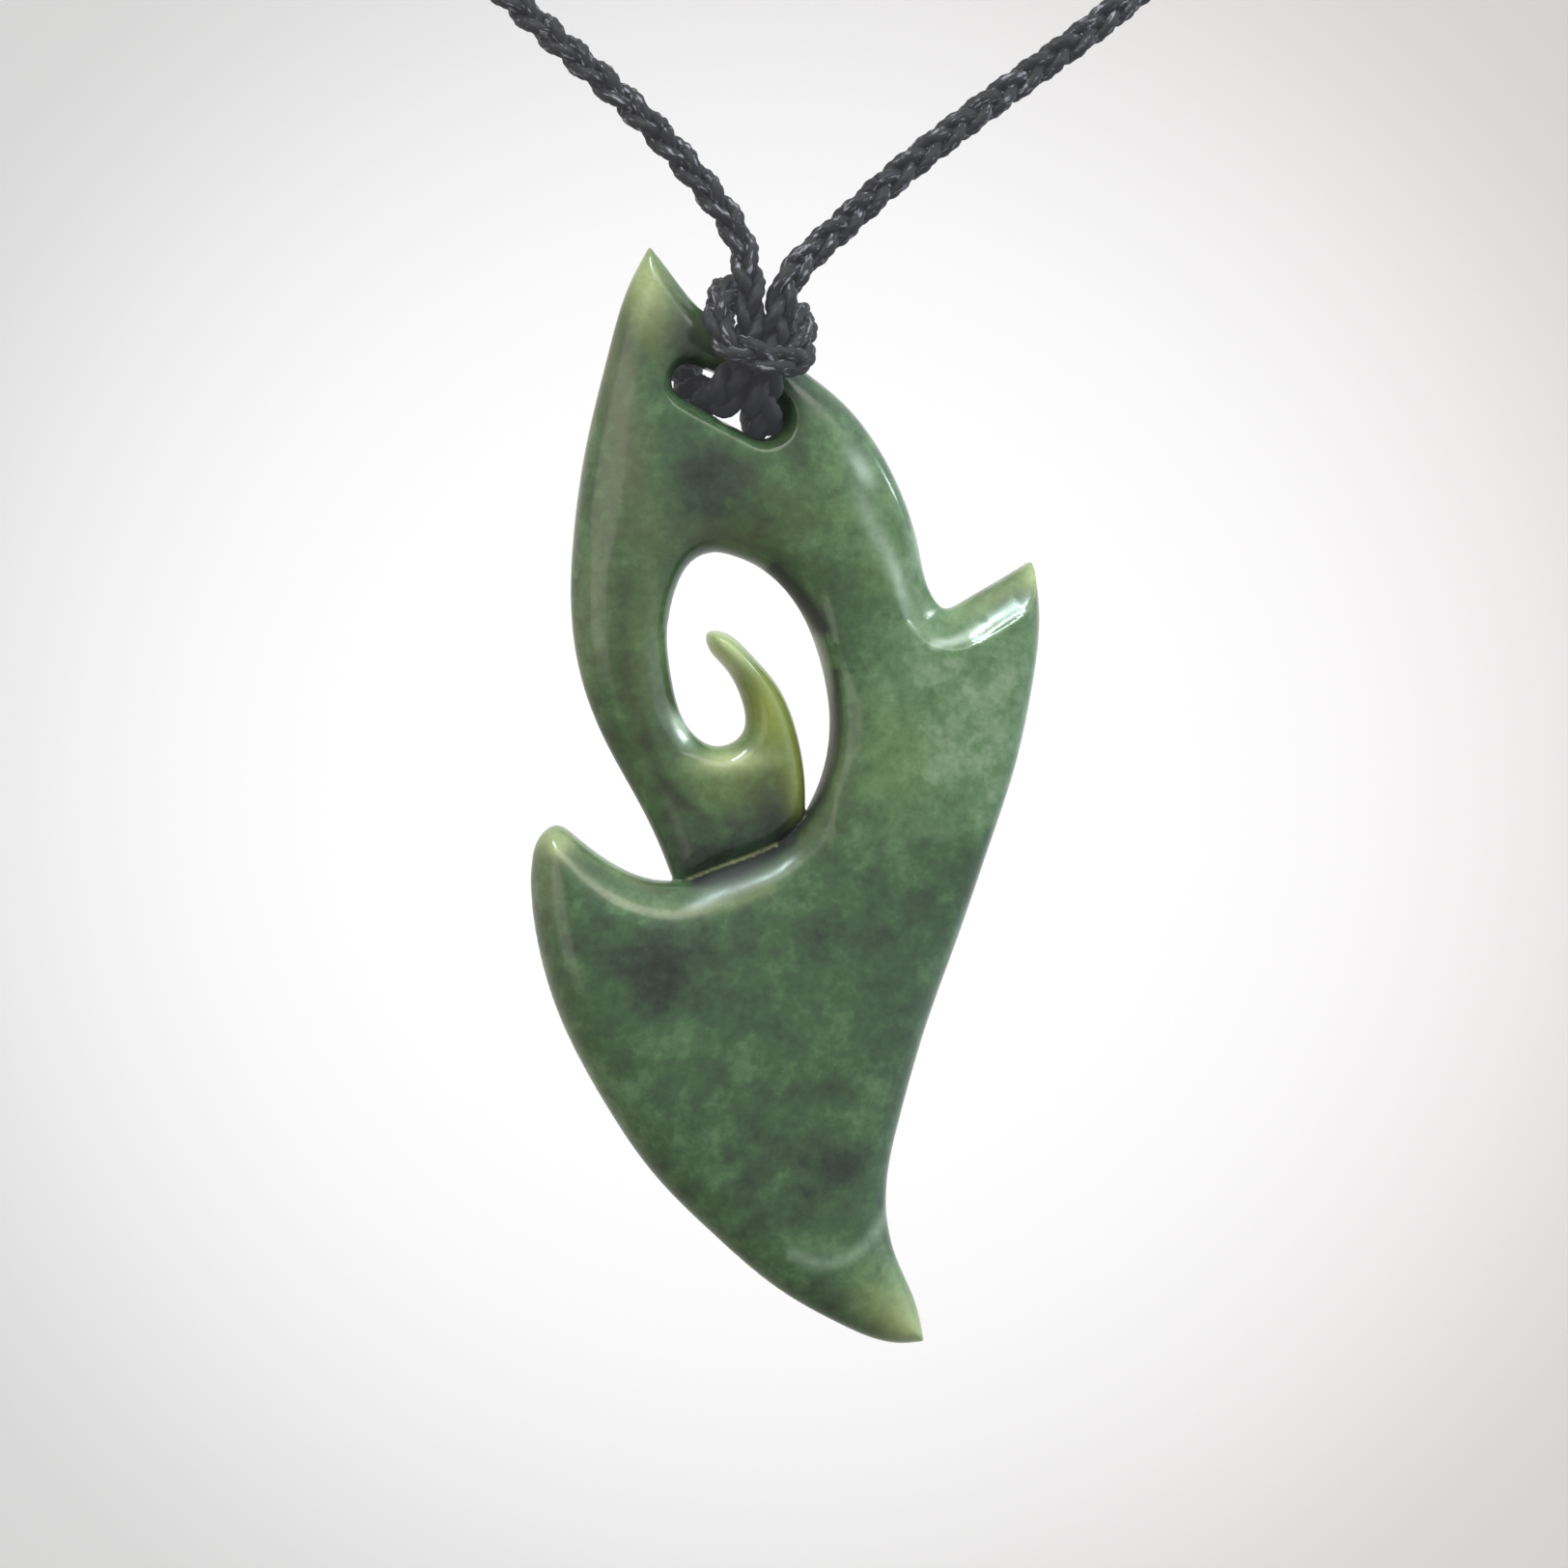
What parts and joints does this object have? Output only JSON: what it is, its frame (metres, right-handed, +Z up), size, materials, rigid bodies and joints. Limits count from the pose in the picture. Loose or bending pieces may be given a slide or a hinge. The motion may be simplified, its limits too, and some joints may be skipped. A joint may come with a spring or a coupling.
{
  "type": "jade koru pendant",
  "caption": "Flat carved green jade pendant with a koru curl and hook in an open ring, tied with a lark's head on a closed loop of black plaited neck cord.",
  "frame": {"origin": "centre of the closing knot at the back of the loop, where it rests on the nape", "axes": "+Z up as worn, the pendant's front faces -Y, +X is to the right of someone looking at the front"},
  "size_m": [0.122, 0.1341, 0.1793],
  "materials": {
    "jade": "polished green nephrite",
    "cord": "black three-strand plait"
  },
  "bodies": {
    "root": {"pendant": "jade", "hitch": "cord", "cord_left": "cord", "cord_right": "cord", "nape_knot": "cord"}
  },
  "joints": []
}
